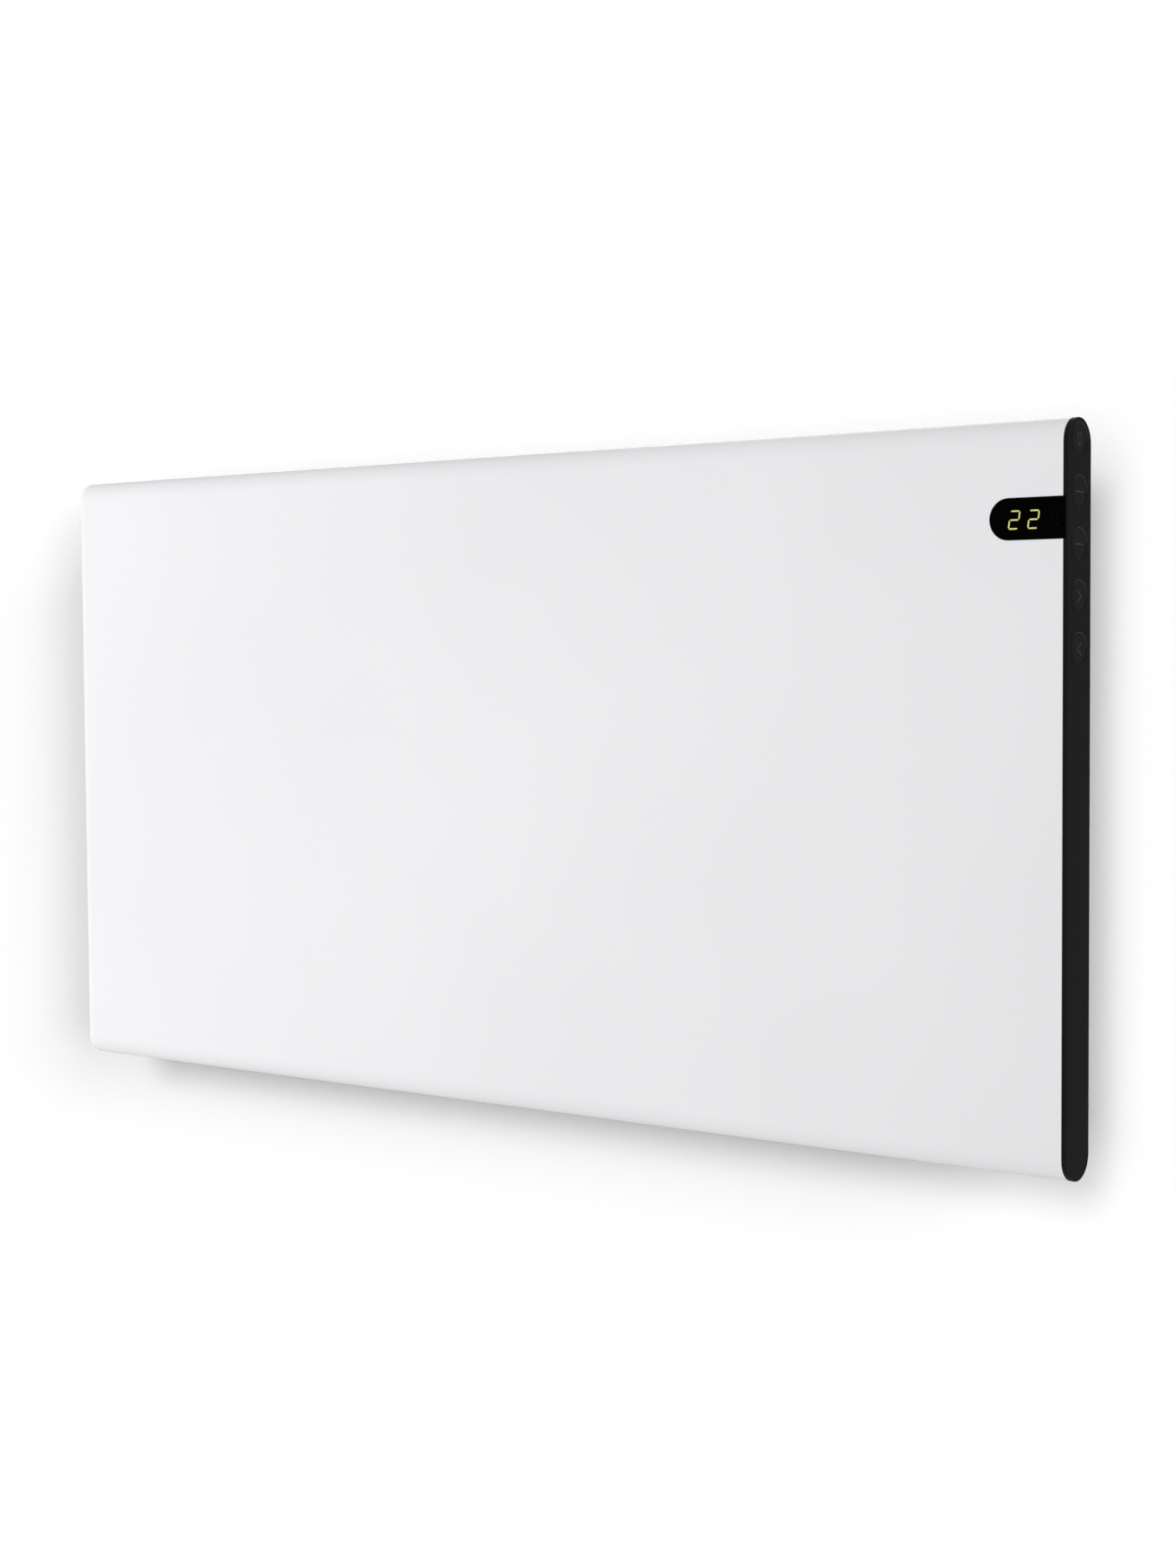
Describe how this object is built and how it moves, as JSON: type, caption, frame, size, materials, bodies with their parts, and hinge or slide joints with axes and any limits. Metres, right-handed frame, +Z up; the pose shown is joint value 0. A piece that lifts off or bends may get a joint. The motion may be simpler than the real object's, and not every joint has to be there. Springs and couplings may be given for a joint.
{
  "type": "wall panel convector heater",
  "caption": "Slim wall heater: white pill-section panel, black control end with push buttons and a lit display, rear convector housing, tilting wall bracket.",
  "frame": {"origin": "on the wall plane, at the centre of the four wall-screw holes, level with the middle of the panel", "axes": "+X along the wall to the right of someone facing the heater, -Y out of the front, +Z up"},
  "size_m": [0.7, 0.0843, 0.37],
  "materials": {
    "galvanised_steel": "satin galvanised sheet",
    "zinc_steel": "bright zinc plating",
    "rubber": "matt moulded rubber",
    "latch_plastic": "fine-grained nylon",
    "housing_steel": "fine-textured powder coat",
    "element_aluminium": "extruded",
    "rod_steel": "heat-tinted stainless tube",
    "ceramic": "unglazed steatite",
    "plain_steel": "rolled",
    "shield_aluminium": "bright rolled sheet",
    "white_enamel": "satin powder coat",
    "white_plastic": "fine satin moulding",
    "black_plastic": "fine matt moulding",
    "button_plastic": "fine matt moulding",
    "circuit_board": "green solder mask",
    "black_component": "moulded plastic",
    "pale_component": "natural nylon",
    "terminal_plastic": "moulded plastic",
    "display_glass": "polished dark acrylic",
    "lit_segments": "lit yellow segments",
    "lead_silicone": "silicone sleeving",
    "ribbon_pvc": "grey ribbon insulation"
  },
  "bodies": {
    "wall_bracket": {"bracket_upright_left": "galvanised_steel", "bracket_upright_right": "galvanised_steel", "bracket_crossbar_top": "galvanised_steel", "bracket_crossbar_bottom": "galvanised_steel", "bracket_rivets": "zinc_steel", "wall_buffers": "rubber", "latch_studs": "zinc_steel"},
    "heater": {"back_plate": "housing_steel", "back_plate_screws": "zinc_steel", "board_connectors": "pale_component", "button_board": "circuit_board", "button_board_screws": "zinc_steel", "button_switches": "black_component", "cable_gland": "black_component", "cap_screws": "zinc_steel", "control_chip": "black_component", "control_end_cap": "black_plastic", "convector_housing": "housing_steel", "display_digits": "lit_segments", "display_holder": "black_component", "display_module": "black_component", "display_window": "display_glass", "element_bracket_left": "plain_steel", "element_bracket_right": "plain_steel", "element_bushes": "ceramic", "element_fins": "element_aluminium", "element_screws": "zinc_steel", "filter_capacitor": "pale_component", "front_shell": "white_enamel", "gland_lock_nut": "black_component", "hanger_left": "galvanised_steel", "hanger_pins": "zinc_steel", "hanger_right": "galvanised_steel", "hanger_screws": "zinc_steel", "heat_shield": "shield_aluminium", "heating_rod": "rod_steel", "inlet_grille": "housing_steel", "latch_plate_left": "galvanised_steel", "latch_plate_right": "galvanised_steel", "lead_grommet": "rubber", "leads": "lead_silicone", "left_end_cap": "white_plastic", "outlet_grille": "housing_steel", "power_board": "circuit_board", "power_supply": "black_component", "relay": "black_component", "ribbon_cable": "ribbon_pvc", "room_sensor": "black_component", "spacer_screws": "zinc_steel", "spacers": "pale_component", "terminal_block": "terminal_plastic", "terminal_screws": "zinc_steel", "thermal_cutout": "plain_steel"},
    "latch_left": {"latch_left": "latch_plastic"},
    "latch_right": {"latch_right": "latch_plastic"},
    "button_1": {"button_1": "button_plastic"},
    "button_2": {"button_2": "button_plastic"},
    "button_3": {"button_3": "button_plastic"},
    "button_4": {"button_4": "button_plastic"},
    "button_5": {"button_5": "button_plastic"}
  },
  "joints": [
    {"name": "tilt", "type": "hinge", "parent": "wall_bracket", "child": "heater", "pos_m": [0, -0.012, 0.12], "axis": [-1, 0, 0], "range_deg": [0, 20]},
    {"name": "latch_left_turn", "type": "hinge", "parent": "wall_bracket", "child": "latch_left", "pos_m": [-0.213, -0.0265, -0.16], "axis": [0, 1, 0], "range_deg": [0, 90]},
    {"name": "latch_right_turn", "type": "hinge", "parent": "wall_bracket", "child": "latch_right", "pos_m": [0.213, -0.0265, -0.16], "axis": [0, -1, 0], "range_deg": [0, 90]},
    {"name": "button_1_press", "type": "slide", "parent": "heater", "child": "button_1", "axis": [-1, 0, 0], "range_m": [0, 0.0008], "stiffness_N_per_m": 1500},
    {"name": "button_2_press", "type": "slide", "parent": "heater", "child": "button_2", "axis": [-1, 0, 0], "range_m": [0, 0.0008], "stiffness_N_per_m": 1500},
    {"name": "button_3_press", "type": "slide", "parent": "heater", "child": "button_3", "axis": [-1, 0, 0], "range_m": [0, 0.0008], "stiffness_N_per_m": 1500},
    {"name": "button_4_press", "type": "slide", "parent": "heater", "child": "button_4", "axis": [-1, 0, 0], "range_m": [0, 0.0008], "stiffness_N_per_m": 1500},
    {"name": "button_5_press", "type": "slide", "parent": "heater", "child": "button_5", "axis": [-1, 0, 0], "range_m": [0, 0.0008], "stiffness_N_per_m": 1500}
  ]
}
